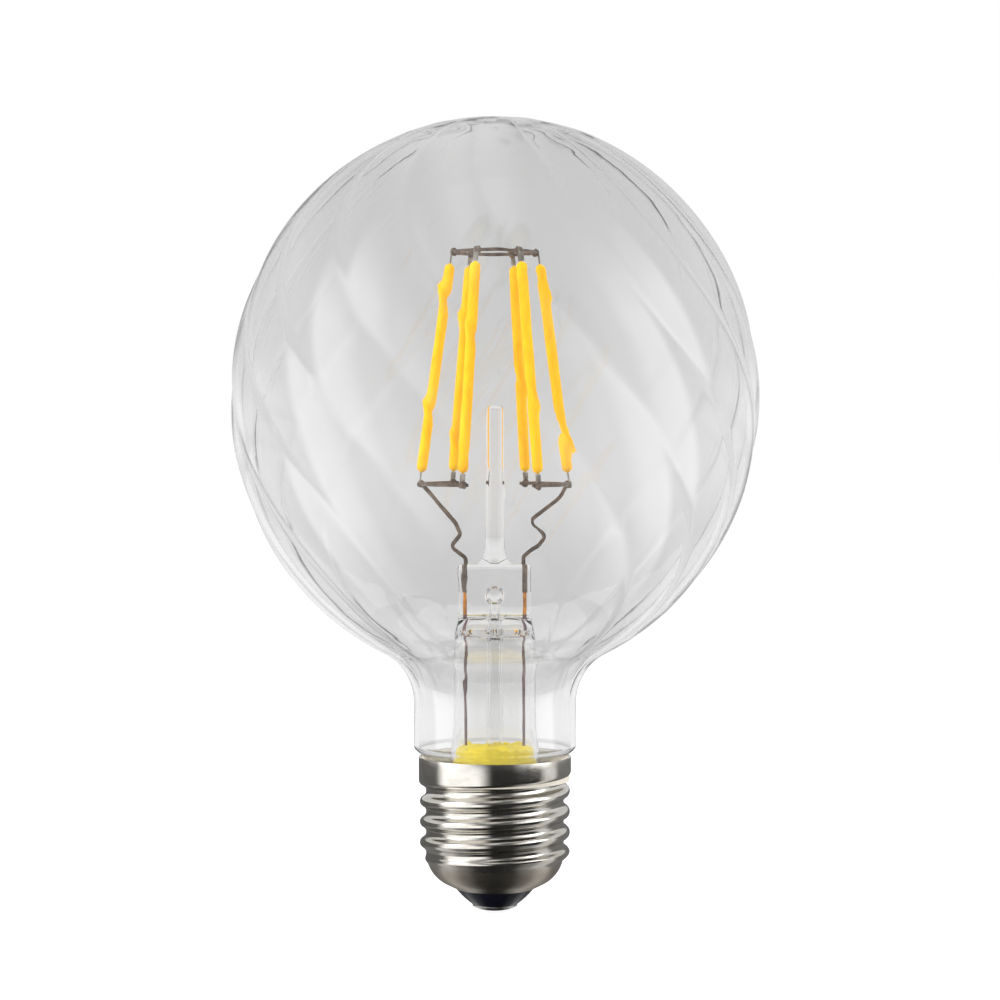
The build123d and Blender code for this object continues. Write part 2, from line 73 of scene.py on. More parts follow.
BRIDGE_Z = sum(corner.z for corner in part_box("bridge_wire_left")) / 2


# Sizes and colours

def length_mm(name, description, millimetres):
    """Setting that is a length, whose default is given in millimetres."""
    return FloatProperty(
        name=name, description=description, default=millimetres * MM, subtype="DISTANCE", unit="LENGTH")


def angle_deg(name, description, degrees):
    """Setting that is an angle, whose default is given in degrees."""
    return FloatProperty(
        name=name, description=description, default=radians(degrees), subtype="ANGLE", unit="ROTATION")


def colour_rgb(name, description, default):
    """Setting that is a colour."""
    return FloatVectorProperty(
        name=name, description=description, default=default, subtype="COLOR", min=0, max=1)


class EnvelopeSettings(PropertyGroup):
    """Blown glass envelope"""

    globe_radius: length_mm("Globe radius", "Largest radius of the lobed globe", 46.245)
    half_height: length_mm("Half height", "Globe's half height along the axis", 49.25)
    neck_radius: length_mm("Neck radius", "Outside of the neck", 14.3)
    neck_rounding: length_mm("Neck rounding", "Hollow curve from the neck out to the globe", 10.0)
    wall: length_mm("Wall", "Glass at the top of a lobe", 1.1)
    lobes: IntProperty(name="Lobes", description="Twisted lobes round the globe", default=16, min=3)
    lobe_depth: length_mm("Lobe depth", "Depth of the grooves between the lobes", 0.62)
    groove_width: FloatProperty(
        name="Groove width", description="Share of a half lobe that the rounded bottom of a groove takes",
        default=0.13, min=0.01, max=0.5, subtype="FACTOR")
    pucker: length_mm("Pucker", "Deepest hollow of the uneven glass round the pole", 0.3)
    twist: angle_deg("Twist", "Turn of a groove between the equator and either end", 40)
    first_groove: angle_deg("First groove", "Where a groove crosses the equator, right of the front", 7.1)
    tint: colour_rgb("Glass tint", "Colour that the envelope's glass leaves in the light", (0.91, 0.91, 0.91))


class CapSettings(PropertyGroup):
    """Screw shell, insulator and contact"""

    major_radius: length_mm("Thread radius", "Radius over the thread's crests", 13.2)
    depth: length_mm("Thread depth", "From crest to root", 1.1)
    pitch: length_mm("Pitch", "Rise of the thread in one turn", 3.629)
    first_root: length_mm("First root", "Height where the groove starts, at the right", 22.76)
    sheet: length_mm("Sheet", "Thickness of the shell's wall", 0.3)
    plate: colour_rgb("Plating", "Bright nickel plate", (0.66, 0.64, 0.6))
    insulator: colour_rgb("Insulator", "Black glass round the contact", (0.008, 0.009, 0.016))


class StemSettings(PropertyGroup):
    """Glass stem, exhaust tube and post"""

    tube_radius: length_mm("Tube radius", "Outside of the stem's tube", 7.2)
    tube_wall: length_mm("Tube wall", "Glass of the stem's tube", 0.9)
    rim_radius: length_mm("Rim radius", "Flare's rim, fused to the envelope's spigot", 10.55)
    rim_height: length_mm("Rim height", "Straight edge of the flare's rim", 0.9)
    flare_height: length_mm("Flare height", "Where the tube starts to flare, above the cap's rim", 7.0)
    pinch_height: length_mm("Pinch height", "Where the tube starts to flatten, below the bore's end", 4.2)
    press_width: length_mm("Press width", "Flat press at the stem's top, side to side", 12.8)
    press_thickness: length_mm("Press thickness", "Flat press, front to back", 5.2)
    press_rounding: length_mm("Press rounding", "Fire-rounded edge of the press's top", 0.5)
    exhaust_radius: length_mm("Exhaust radius", "Outside of the exhaust tube", 1.5)
    eye_radius: length_mm("Eye radius", "Eye of the exhaust tube in the press", 1.8)
    post_radius: length_mm("Post radius", "Rod that stands on the press", 1.6)
    tint: colour_rgb("Glass tint", "Colour that the stem's glass leaves in the light", (0.998, 0.998, 0.995))


class FilamentSettings(PropertyGroup):
    """Filaments, the wires that carry them and the adhesive"""

    radius: length_mm("Filament radius", "Outside of the phosphor coat", 0.96)
    length: length_mm("Filament length", "Length of the coat", 37.0)
    lean: angle_deg("Lean", "Lean of a filament in towards the top", 7.9)
    ring_radius: length_mm("Ring radius", "Circle of the filaments' lower ends", 13.0)
    turn: angle_deg("Turn", "Turn of the whole ring to the right", 5)
    phosphor: colour_rgb("Phosphor", "Yellow phosphor coat", (1.0, 0.56, 0.0))
    wire: colour_rgb("Wire", "Heat-darkened support wire", (0.26, 0.2, 0.155))
    adhesive: colour_rgb("Adhesive", "Yellow adhesive in the flare", (0.9, 0.71, 0.008))


class StageSettings(PropertyGroup):
    """Studio"""

    camera_distance: length_mm("Camera distance", "From the lens to the lamp's axis", 500)
    camera_height: length_mm("Camera height", "Above the floor", 85)
    frame_width: length_mm("Frame width", "Width of the picture at the lamp's axis", 175.44)
    frame_centre: FloatVectorProperty(
        name="Frame centre", description="Point in the middle of the picture", default=(0.0009, 0.0, 0.07205),
        subtype="TRANSLATION", unit="LENGTH")
    backdrop: colour_rgb("Backdrop", "Floor and background", (1.0, 1.0, 1.0))


# Shapes

def smoothstep(low, high, value):
    """0 below low, 1 above high and a smooth rise between them."""
    t = min(max((value - low) / (high - low), 0.0), 1.0)
    return t * t * (3 - 2 * t)


def steps_between(start, end, steps):
    """Even steps from one value up to another, without the last."""
    return [start + (end - start) * step / steps for step in range(steps)]


def steps_after(start, end, steps):
    """Even steps from one value up to another, without the first."""
    return [start + (end - start) * step / steps for step in range(1, steps + 1)]


def ring_point(angle, radius, z):
    """Point on a circle round the axis, by its angle to the right of the front."""
    return Vector((radius * sin(angle), -radius * cos(angle), z))


def round_angles(count):
    """Even angles round the axis."""
    return [2 * pi * step / count for step in range(count)]


def ring_row(radius, z, columns):
    """Points on a circle round the axis."""
    return [ring_point(angle, radius, z) for angle in round_angles(columns)]


def skin(rows, tips=None, closed=False):
    """Points and faces over rows of points round an axis, with a tip at each end or closed in a loop."""
    columns = len(rows[0])
    points = [point for row in rows for point in row]
    faces = []
    last = len(rows) if closed else len(rows) - 1
    for row in range(last):
        here, there = row * columns, (row + 1) % len(rows) * columns
        for column in range(columns):
            beside = (column + 1) % columns
            faces.append((here + column, here + beside, there + beside, there + column))
    if tips:
        for tip, start in zip(tips, (0, (len(rows) - 1) * columns)):
            points.append(tip)
            for column in range(columns):
                faces.append((len(points) - 1, start + column, start + (column + 1) % columns))
    return points, faces


def new_mesh(name, points, faces):
    """Mesh of points and faces."""
    mesh = bpy.data.meshes.new(name)
    mesh.from_pydata(points, [], faces)
    return mesh


def add_object(name, data):
    """Object in the scene, for a mesh, lamp or camera."""
    thing = bpy.data.objects.new(name, data)
    bpy.context.scene.collection.objects.link(thing)
    return thing


def add_piece(name, mesh):
    """Object for a mesh, with faces turned outward and smooth shading, riding with the lamp."""
    work = bmesh.new()
    work.from_mesh(mesh)
    bmesh.ops.recalc_face_normals(work, faces=work.faces)
    work.to_mesh(mesh)
    work.free()
    mesh.shade_smooth()
    mesh.set_sharp_from_angle(angle=radians(50))
    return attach(add_object(name, mesh), BODY)


def spun_mesh(name, rows, tips=None, closed=False):
    """Piece skinned over rows of points."""
    return add_piece(name, new_mesh(name, *skin(rows, tips, closed)))


def dress(material, *names):
    """Gives nodes of the frame their finish."""
    for name in names:
        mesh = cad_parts[name].data
        mesh.materials.clear()
        mesh.materials.append(material)


# Finishes

# Ranges in which most of a noise lies: the second is narrower, for patches with clear edges
GRAIN = (0.3, 0.7)
PATCHES = (0.35, 0.65)


def surface(name, **sockets):
    """Material with one Principled surface whose plain values are set on its own sockets."""
    material = bpy.data.materials.new(name)
    material.use_nodes = True
    shader = material.node_tree.nodes["Principled BSDF"]
    for socket, value in sockets.items():
        value = (*value, 1.0) if socket.endswith("Color") else value
        shader.inputs[socket.replace("_", " ")].default_value = value
    return material


def add_node(owner, kind, inputs=None, **settings):
    """New node of a material or world, with its settings and plain or linked inputs."""
    node = owner.node_tree.nodes.new(kind)
    for setting, value in settings.items():
        setattr(node, setting, value)
    for socket, value in (inputs or {}).items():
        if isinstance(value, NodeSocket):
            owner.node_tree.links.new(value, node.inputs[socket])
        else:
            node.inputs[socket].default_value = value
    return node


def feed(material, socket, output):
    """Links an output to a socket of the material's Principled surface."""
    shader = material.node_tree.nodes["Principled BSDF"]
    material.node_tree.links.new(output, shader.inputs[socket])


def place_on(material):
    """Place on the object as X, Y and Z, in metres."""
    place = add_node(material, "ShaderNodeTexCoord").outputs["Object"]
    return add_node(material, "ShaderNodeSeparateXYZ", {"Vector": place}).outputs


def grain(material, size, stretch=(1, 1, 1), detail=3.0):
    """Noise whose grains are of a size in metres, stretched along the object's axes."""
    place = add_node(material, "ShaderNodeTexCoord").outputs["Object"]
    scale = tuple(1 / (size * along) for along in stretch)
    fit = add_node(material, "ShaderNodeMapping", {"Vector": place, "Scale": scale})
    texture = add_node(material, "ShaderNodeTexNoise", {
        "Vector": fit.outputs["Vector"], "Scale": 1.0, "Detail": detail, "Roughness": 0.5})
    return texture.outputs["Fac"]


def spread(material, value, to_low, to_high, low=0.0, high=1.0, kind="LINEAR"):
    """Value moved from one range to another, and held inside it."""
    node = add_node(material, "ShaderNodeMapRange", {
        "Value": value, "From Min": low, "From Max": high, "To Min": to_low, "To Max": to_high},
        interpolation_type=kind)
    return node.outputs["Result"]


def soft_rise(material, value, start, end):
    """Smooth rise from 0 to 1 between two values."""
    return spread(material, value, 0, 1, start, end, "SMOOTHSTEP")


def combine(owner, operation, first, second=0.0):
    """Sum, product or other result of two values."""
    return add_node(owner, "ShaderNodeMath", {0: first, 1: second}, operation=operation).outputs["Value"]


def ramp(material, share, stops):
    """Smooth curve of brightness through pairs of place and value."""
    node = add_node(material, "ShaderNodeValToRGB", {"Fac": share})
    node.color_ramp.interpolation = "EASE"
    while len(node.color_ramp.elements) < len(stops):
        node.color_ramp.elements.new(0.5)
    for element, (place, value) in zip(node.color_ramp.elements, stops):
        element.position = place
        element.color = (value, value, value, 1.0)
    return node.outputs["Color"]


def blend_colours(material, share, first, second, blend_type="MIX"):
    """Mix by a share of two colours, each plain or another node's output."""
    first, second = (
        colour if isinstance(colour, NodeSocket) else (*colour, 1.0) for colour in (first, second))
    node = add_node(
        material, "ShaderNodeMix", {0: share, 6: first, 7: second}, data_type="RGBA", blend_type=blend_type)
    return node.outputs[2]


def darker(colour, share):
    """Colour with a share of its brightness."""
    return tuple(share * part for part in colour)


def mottle(material, pattern, dark, light, roughness, between=GRAIN):
    """Colour and roughness that follow a pattern, from one colour and roughness to the other."""
    share = spread(material, pattern, 0, 1, *between)
    feed(material, "Base Color", blend_colours(material, share, dark, light))
    feed(material, "Roughness", spread(material, pattern, *roughness, *GRAIN))


def relief(material, height, depth):
    """Bumps of a depth in metres on the material's surface."""
    node = add_node(material, "ShaderNodeBump", {"Height": height, "Distance": depth, "Strength": 1.0})
    feed(material, "Normal", node.outputs["Normal"])


def clear_glass(name, tint, bending, ripple, ripple_size, stretch):
    """Fire-polished glass with faint ripples, which lets lamplight through to what is inside."""
    shadow_tint = (0.96, 0.96, 0.96, 1.0)
    material = surface(name, Base_Color=tint, Roughness=0.0, Transmission_Weight=1.0, IOR=bending)
    relief(material, grain(material, ripple_size, stretch, detail=2.0), ripple)
    nodes = material.node_tree.nodes
    path = add_node(material, "ShaderNodeLightPath")
    through = add_node(material, "ShaderNodeBsdfTransparent", {"Color": shadow_tint})
    mix = add_node(material, "ShaderNodeMixShader", {
        0: path.outputs["Is Shadow Ray"],
        1: nodes["Principled BSDF"].outputs["BSDF"],
        2: through.outputs["BSDF"]})
    material.node_tree.links.new(mix.outputs["Shader"], nodes["Material Output"].inputs["Surface"])
    return material


def wire_metal(name, colour):
    """Drawn wire with heat-stained patches and fine draw marks."""
    patch_size, mark_size, mark_depth, stain = 1.5 * MM, 0.15 * MM, 0.02 * MM, 0.45
    material = surface(name, Metallic=0.85)
    patches = grain(material, patch_size, detail=4.0)
    mottle(material, patches, darker(colour, stain), colour, (0.5, 0.3), PATCHES)
    relief(material, grain(material, mark_size, (1, 1, 6)), mark_depth)
    return material


def moulding(name, colour, grain_size=0.3 * MM, roughness=(0.45, 0.65), depth=0.02 * MM):
    """Matt moulded or cured surface with a fine grain and slight changes of shade."""
    shade = 0.8
    material = surface(name)
    pores = grain(material, grain_size)
    mottle(material, pores, darker(colour, shade), colour, roughness)
    relief(material, pores, depth)
    return material


# Envelope

def neck_join(half_width, half_height, centre_z, neck_r, rounding):
    """Angle on the globe's ellipse where the hollow curve leaves it, the curve's centre and its end angle."""
    low, high, halvings = -pi / 2, 0.0, 50
    for _ in range(halvings):
        angle = (low + high) / 2
        along_r, along_z = half_height * cos(angle), half_width * sin(angle)
        reach = rounding / hypot(along_r, along_z)
        centre = (half_width * cos(angle) + reach * along_r,
                  centre_z + half_height * sin(angle) + reach * along_z)
        if centre[0] > neck_r + rounding:
            high = angle
        else:
            low = angle
    return angle, centre, atan2(-along_z, -along_r)


def rounded_line(corners, cut):
    """Points along a line of radius and height whose corners are rounded off."""
    steps = 5
    corners = [Vector(corner) for corner in corners]
    points = [corners[0]]
    for before, corner, after in zip(corners, corners[1:], corners[2:]):
        start = corner + (before - corner).normalized() * cut
        end = corner + (after - corner).normalized() * cut
        for step in range(steps + 1):
            t = step / steps
            points.append(start * (1 - t) ** 2 + corner * 2 * t * (1 - t) + end * t ** 2)
    return points + [corners[-1]]


def envelope_line(sizes, centre_z, inset):
    """Radius and height along the envelope's outer line, or its bore at an inset, from foot to pole."""
    wall = inset * sizes.wall
    thin_wall = 0.8 * wall
    half_width, half_height = sizes.globe_radius - wall, ENVELOPE_TOP_Z - centre_z - thin_wall
    neck_r, rounding = sizes.neck_radius - thin_wall, sizes.neck_rounding + thin_wall
    join, (curve_r, curve_z), curve_end = neck_join(half_width, half_height, centre_z, neck_r, rounding)
    spigot_r, mouth_r, corner_cut = 11.5 * MM - thin_wall, 12.5 * MM - thin_wall, 0.5 * MM
    spigot_z, shoulder_z, straight = CAP_RIM_Z - 4.5 * MM, CAP_RIM_Z + 1.6 * MM, 3 * MM
    points = rounded_line([
        (spigot_r, ENVELOPE_FOOT_Z), (spigot_r, spigot_z), (mouth_r, CAP_RIM_Z),
        (neck_r, shoulder_z), (neck_r, shoulder_z + straight)], corner_cut)
    neck_steps, curve_steps, globe_steps = 10, 18, 100
    neck_z = points[-1][1]
    points += [(neck_r, z) for z in steps_after(neck_z, curve_z, neck_steps)]
    points += [(curve_r + rounding * cos(angle), curve_z + rounding * sin(angle))
               for angle in steps_after(pi, curve_end, curve_steps)]
    points += [(half_width * cos(angle), centre_z + half_height * sin(angle))
               for angle in steps_between(join, pi / 2, globe_steps)[1:]]
    return points, Vector((0, 0, centre_z + half_height))


def groove_depth(sizes, centre_z, r, z):
    """Share of the full groove at a point of the outer line: it fades to the pole and down the neck."""
    fade, neck_margin, neck_share = 9 * MM, 2 * MM, 0.2
    smooth_z, grooved_z = CAP_RIM_Z + 5 * MM, CAP_RIM_Z + 18 * MM
    if z > centre_z:
        return tanh(r / fade)
    on_neck = neck_share * smoothstep(smooth_z, grooved_z, z)
    return on_neck + (1 - on_neck) * tanh(max(r - sizes.neck_radius - neck_margin, 0) / fade)


def lobe_profile(across, groove_width):
    """Drop from a lobe's crest, where it is 0, to the rounded bottom of the groove."""
    drop = across ** 2
    if across > 1 - groove_width:
        drop -= (across - 1 + groove_width) ** 2 / groove_width
    return drop


class LAMP_OT_envelope(Operator):
    """Blow the lobed glass envelope"""

    bl_idname = "lamp.envelope"
    bl_label = "Glass envelope"

    def execute(self, context):
        sizes = context.scene.lamp_envelope
        centre_z = ENVELOPE_TOP_Z - sizes.half_height
        outer, outer_pole = envelope_line(sizes, centre_z, 0)
        inner, inner_pole = envelope_line(sizes, centre_z, 1)
        rows = [self.lobed_row(sizes, centre_z, r, z) for r, z in reversed(inner)]
        rows += [self.lobed_row(sizes, centre_z, r, z, sizes.pucker) for r, z in outer]
        piece = spun_mesh("envelope", rows, (inner_pole, outer_pole))
        piece.data.materials.append(clear_glass(
            "blown_glass", sizes.tint, bending=1.5, ripple=0.04 * MM, ripple_size=9 * MM, stretch=(1, 1, 3)))
        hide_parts("glass_envelope")
        return {"FINISHED"}

    def lobed_row(self, sizes, centre_z, r, z, pucker=0.0):
        """Points round the envelope at one height, in columns that run along the grooves."""
        steps, pole_rise, wrinkle = 20, radians(81), 4.5 * MM
        pole_r, puckered_r, even_r = 3 * MM, 10 * MM, 30 * MM
        rise = min(max((z - centre_z) / sizes.half_height * pole_rise, -pi / 2), pi / 2)
        turn = sizes.first_groove - sizes.twist * sin(rise)
        depth = sizes.lobe_depth * groove_depth(sizes, centre_z, r, z)
        near_pole = smoothstep(0, pole_r, r) * smoothstep(even_r, puckered_r, r) if z > centre_z else 0.0
        hollow = pucker * near_pole
        row = []
        for lobe in range(sizes.lobes):
            for step in range(steps):
                across = sin(pi * (step / steps - 0.5))
                angle = turn + (lobe + 0.5 + across / 2) * 2 * pi / sizes.lobes
                point = ring_point(angle, r - depth * lobe_profile(abs(across), sizes.groove_width), z)
                point.z -= hollow * (0.5 + 0.5 * noise.noise(point / wrinkle))
                row.append(point)
        return row


# Cap

def shell_line(root_r):
    """Points and outward directions down the shell's root line, from its rim to the hole in its end."""
    hole_r, slope, rounding = 6.9 * MM, radians(26.6), 6.0 * MM
    corner_z = CAP_HOLE_Z + (root_r - hole_r) * tan(slope)
    bend_z = corner_z + rounding * tan((pi / 2 - slope) / 2)
    straight_steps, bend_steps, cone_steps = 120, 24, 8
    line = [(root_r, z, 1.0, 0.0) for z in steps_between(CAP_RIM_Z, bend_z, straight_steps)]
    for angle in (0.0, *steps_after(0, slope - pi / 2, bend_steps)):
        line.append((root_r - rounding + rounding * cos(angle), bend_z + rounding * sin(angle),
                     cos(angle), sin(angle)))
    start_r, start_z, out_r, out_z = line[-1]
    ends = zip(steps_after(start_r, hole_r, cone_steps), steps_after(start_z, CAP_HOLE_Z, cone_steps))
    return line + [(r, z, out_r, out_z) for r, z in ends]


def arc_rise(share, width, height):
    """Rise from a root to a crest over two arcs that meet half way, as shares of its width and height."""
    radius = (width ** 2 + height ** 2) / (4 * height)
    if share > 0.5:
        return 1 - arc_rise(1 - share, width, height)
    return (radius - (radius ** 2 - (share * width) ** 2) ** 0.5) / height


def thread_reach(sizes, turn, z):
    """How far the shell stands out from its root line, by the turn from the right round the front."""
    collar_starts, collar_full, run_out = -0.35, 0.05, -0.25
    plain_z, threaded_z = 8.0 * MM, 10.4 * MM
    above = (z - sizes.first_root) / sizes.pitch
    collar = COLLAR_R - sizes.major_radius
    crest = sizes.depth + collar * smoothstep(collar_starts, collar_full, above)
    root = round(above + turn)
    groove = smoothstep(run_out, 0.0, turn - root)
    cut = crest * groove * (1 - arc_rise(abs(above + turn - root) * 2, sizes.pitch / 2, sizes.depth))
    return (crest - cut) * smoothstep(plain_z, threaded_z, z)


def nickel_plate(colour):
    """Bright plate with fine turned marks, small stains, and a rougher closed end darkened by painted shade.
    """
    shaded_dull_z, bright_z, mark_depth = 7.2 * MM, 10.0 * MM, 0.0008 * MM
    # The darker, warmer colour of the closed end is painted shade.
    shaded_plate, stain, clean = (0.44, 0.4, 0.34), (0.9, 0.88, 0.85), (1, 1, 1)
    material = surface("nickel_plate", Metallic=1.0)
    stains = grain(material, 2.5 * MM, (1, 1, 0.6), detail=5.0)
    marks = grain(material, 0.09 * MM, (14, 14, 1), detail=2.0)
    # Towards the closed end the colour darkens as painted shade, and the plate grows rougher.
    bright = spread(material, place_on(material)["Z"], 0, 1, shaded_dull_z, bright_z)
    plate = blend_colours(material, bright, shaded_plate, colour)
    stained = blend_colours(material, spread(material, stains, 0, 1, 0.35, 0.6), stain, clean)
    feed(material, "Base Color", blend_colours(material, 1.0, plate, stained, "MULTIPLY"))
    polish = spread(material, marks, 0.1, 0.16, *GRAIN)
    feed(material, "Roughness", combine(material, "ADD", polish, spread(material, bright, 0.24, 0.0)))
    relief(material, marks, mark_depth)
    return material


class LAMP_OT_screw_shell(Operator):
    """Roll the threaded shell"""

    bl_idname = "lamp.screw_shell"
    bl_label = "Screw shell"

    def execute(self, context):
        sizes = context.scene.lamp_cap
        columns = 192
        line = shell_line(sizes.major_radius - sizes.depth)
        rows = []
        for inset, part in ((0.0, line), (sizes.sheet, list(reversed(line)))):
            for r, z, out_r, out_z in part:
                row = []
                for column in range(columns):
                    turn = column / columns
                    reach = thread_reach(sizes, turn, z) - inset
                    radius = r + out_r * reach
                    row.append(Vector((
                        radius * cos(2 * pi * turn), -radius * sin(2 * pi * turn), z + out_z * reach)))
                rows.append(row)
        piece = spun_mesh("screw_shell_rolled", rows, closed=True)
        piece.data.materials.append(nickel_plate(sizes.plate))
        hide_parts("screw_shell")
        return {"FINISHED"}


class LAMP_OT_cap_end(Operator):
    """Finish the insulator, the centre contact and the cement"""

    bl_idname = "lamp.cap_end"
    bl_label = "Insulator, contact and cement"

    def execute(self, context):
        dent = 0.03 * MM
        black = surface("black_glass", Base_Color=context.scene.lamp_cap.insulator, Specular_IOR_Level=0.2)
        swirl = grain(black, 1.2 * MM, detail=4.0)
        feed(black, "Roughness", spread(black, swirl, 0.08, 0.22, *GRAIN))
        relief(black, swirl, dent)
        dress(black, "insulator")
        worn_tin, bright_tin = (0.42, 0.4, 0.37), (0.74, 0.73, 0.7)
        tin = surface("tinned_contact", Metallic=1.0)
        wear = grain(tin, 0.8 * MM, detail=5.0)
        mottle(tin, wear, worn_tin, bright_tin, (0.2, 0.45), (0, 1))
        relief(tin, wear, dent)
        dress(tin, "centre_contact")
        cement = moulding("fired_cement", (0.75, 0.7, 0.6), roughness=(0.75, 0.95), depth=0.06 * MM)
        dress(cement, "basing_cement")
        return {"FINISHED"}


# Stem

def flare_radius(sizes, tube_r, rim_r, z):
    """Radius of the stem's tube at a height, where an arc carries it out to the rim."""
    flare_z, rim_z = CAP_RIM_Z + sizes.flare_height, ENVELOPE_FOOT_Z + sizes.rim_height
    if z >= flare_z:
        return tube_r
    out, down = rim_r - tube_r, flare_z - rim_z
    bend = (out ** 2 + down ** 2) / (2 * out)
    return tube_r + bend - (bend ** 2 - min(flare_z - z, down) ** 2) ** 0.5


class LAMP_OT_stem(Operator):
    """Draw the stem, its exhaust tube and the post as one piece of glass"""

    bl_idname = "lamp.stem"
    bl_label = "Glass stem"

    def execute(self, context):
        sizes = context.scene.lamp_stem
        rows = self.inside(sizes) + self.outside(sizes)
        tips = (Vector((0, 0, EXHAUST_TIP_Z)), Vector((0, 0, POST_TOP_Z)))
        points, faces = skin(rows, tips)
        bore_points, bore_faces = skin(*self.exhaust_bore(sizes))
        solid_faces = len(faces)
        faces += [tuple(index + len(points) for index in face) for face in bore_faces]
        mesh = new_mesh("stem", points + bore_points, faces)
        piece = add_piece("stem", mesh)
        work = bmesh.new()
        work.from_mesh(mesh)
        work.faces.ensure_lookup_table()
        bmesh.ops.reverse_faces(work, faces=work.faces[solid_faces:])
        work.to_mesh(mesh)
        work.free()
        mesh.materials.append(clear_glass(
            "stem_glass", sizes.tint, bending=1.4, ripple=0.03 * MM, ripple_size=3 * MM, stretch=(1, 1, 2)))
        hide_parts("glass_stem", "exhaust_tube", "glass_post")
        return {"FINISHED"}

    def loop(self, half_width, half_depth, z, flat=0.0):
        """Points round the stem at one height: an ellipse, or by a share the press's flat outline."""
        columns, bow = 96, 2 / (2 + 3 * flat)
        row = []
        for angle in round_angles(columns):
            across, out = cos(angle), sin(angle)
            row.append(Vector((half_width * copysign(abs(across) ** bow, across),
                               half_depth * copysign(abs(out) ** bow, out), z)))
        return row

    def ring(self, radius, z):
        """Points round the stem on a circle."""
        return self.loop(radius, radius, z)

    def tube(self, sizes, radius, rim_r, half_width, half_depth, top_z):
        """Loops up a flared tube that is pinched flat at its top."""
        rim_z, flare_z = ENVELOPE_FOOT_Z + sizes.rim_height, CAP_RIM_Z + sizes.flare_height
        pinch_z = BORE_TOP_Z - sizes.pinch_height
        heights = [ENVELOPE_FOOT_Z, *steps_between(rim_z, flare_z, 16), *steps_between(flare_z, pinch_z, 8),
                   *steps_between(pinch_z, top_z, 20)]
        rows = []
        for z in heights:
            flat = smoothstep(pinch_z, top_z, z)
            r = flare_radius(sizes, radius, rim_r, z)
            rows.append(self.loop(r + (half_width - r) * flat, r + (half_depth - r) * flat, z, flat))
        return rows

    def outside(self, sizes):
        """Loops up the outside: flare, tube, press and post."""
        half_width, half_depth = sizes.press_width / 2, sizes.press_thickness / 2
        rounding = sizes.press_rounding
        flat_z, edge_z = BORE_TOP_Z + 1 * MM, PRESS_TOP_Z - rounding
        rows = self.tube(sizes, sizes.tube_radius, sizes.rim_radius, half_width, half_depth, flat_z)
        rows += [self.loop(half_width, half_depth, z, 1.0) for z in steps_between(flat_z, edge_z, 8)]
        for turn in steps_between(0, pi / 2, 6):
            edge = rounding * (1 - cos(turn))
            rows.append(self.loop(half_width - edge, half_depth - edge, edge_z + rounding * sin(turn), 1.0))
        top_width, top_depth = half_width - rounding, half_depth - rounding
        post_r, foot_r, foot_rise, taper_top = sizes.post_radius, 2.1 * MM, 1.2 * MM, PRESS_TOP_Z + 5 * MM
        for share in steps_between(0, 1, 14):
            rise = foot_rise * max(2 * share - 1, 0) ** 3
            rows.append(self.loop(
                top_width + (foot_r - top_width) * share, top_depth + (foot_r - top_depth) * share,
                PRESS_TOP_Z + rise, 1 - smoothstep(0.2, 1, share)))
        for z in steps_between(PRESS_TOP_Z + foot_rise, taper_top, 10):
            spread_foot = 1 - smoothstep(PRESS_TOP_Z, taper_top, z)
            rows.append(self.ring(post_r + (foot_r - post_r) * spread_foot, z))
        tip_rounding = 0.8 * MM
        rows += [self.ring(post_r, z) for z in steps_between(taper_top, POST_TOP_Z - tip_rounding, 10)]
        rows += [self.ring(post_r - tip_rounding * (1 - cos(turn)),
                           POST_TOP_Z - tip_rounding * (1 - sin(turn)))
                 for turn in steps_between(0, pi / 2, 6)]
        return rows

    def inside(self, sizes):
        """Loops from the exhaust tube's tip up to the roof of the bore, then down the bore to the rim."""
        wall, slot_wall, r = sizes.tube_wall, 0.75 * MM, sizes.exhaust_radius
        tip_length, arch_rise = 2 * MM, 1.5 * MM
        shoulder_z, roof_z = EXHAUST_TIP_Z + tip_length, BORE_TOP_Z - arch_rise
        rows = [self.ring(r * sin(turn), shoulder_z - tip_length * cos(turn))
                for turn in steps_between(pi / 24, pi / 2, 8)]
        rows += [self.ring(r, z) for z in steps_between(shoulder_z, roof_z, 12)]
        half_width, half_depth = sizes.press_width / 2 - slot_wall, sizes.press_thickness / 2 - slot_wall
        for share in steps_between(0, 1, 16):
            arch = sin(pi * share) ** 0.5 if share else 0.0
            rows.append(self.loop(r + (half_width - r) * share, r + (half_depth - r) * share,
                                  roof_z + arch_rise * arch, smoothstep(0, 0.8, share)))
        bore = self.tube(
            sizes, sizes.tube_radius - wall, sizes.rim_radius - wall, half_width, half_depth, roof_z)
        bore.append(self.loop(half_width, half_depth, roof_z, 1.0))
        return rows + bore[::-1]

    def exhaust_bore(self, sizes):
        """Loops and ends of the hollow in the exhaust tube and the eye at its top."""
        r, eye_r, tip_length = 0.9 * MM, sizes.eye_radius, 2 * MM
        foot_z, eye_z = EXHAUST_TIP_Z + 0.8 * MM, BORE_TOP_Z + 4 * MM
        rows = [self.ring(r * sin(turn), foot_z + tip_length * (1 - cos(turn)))
                for turn in steps_between(pi / 24, pi / 2, 8)]
        rows += [self.ring(r, z) for z in steps_between(foot_z + tip_length, eye_z - eye_r, 12)]
        rows += [self.ring(eye_r * sin(turn), eye_z - eye_r * cos(turn))
                 for turn in steps_between(pi / 6, 0.97 * pi, 16)]
        return rows, (Vector((0, 0, foot_z)), Vector((0, 0, eye_z + eye_r)))


# Wires and filaments

def filament_angle(sizes, index):
    """Angle of a filament round the axis, right of the front."""
    return sizes.turn + pi / 2 + index * 2 * pi / len(FILAMENT_NODES)


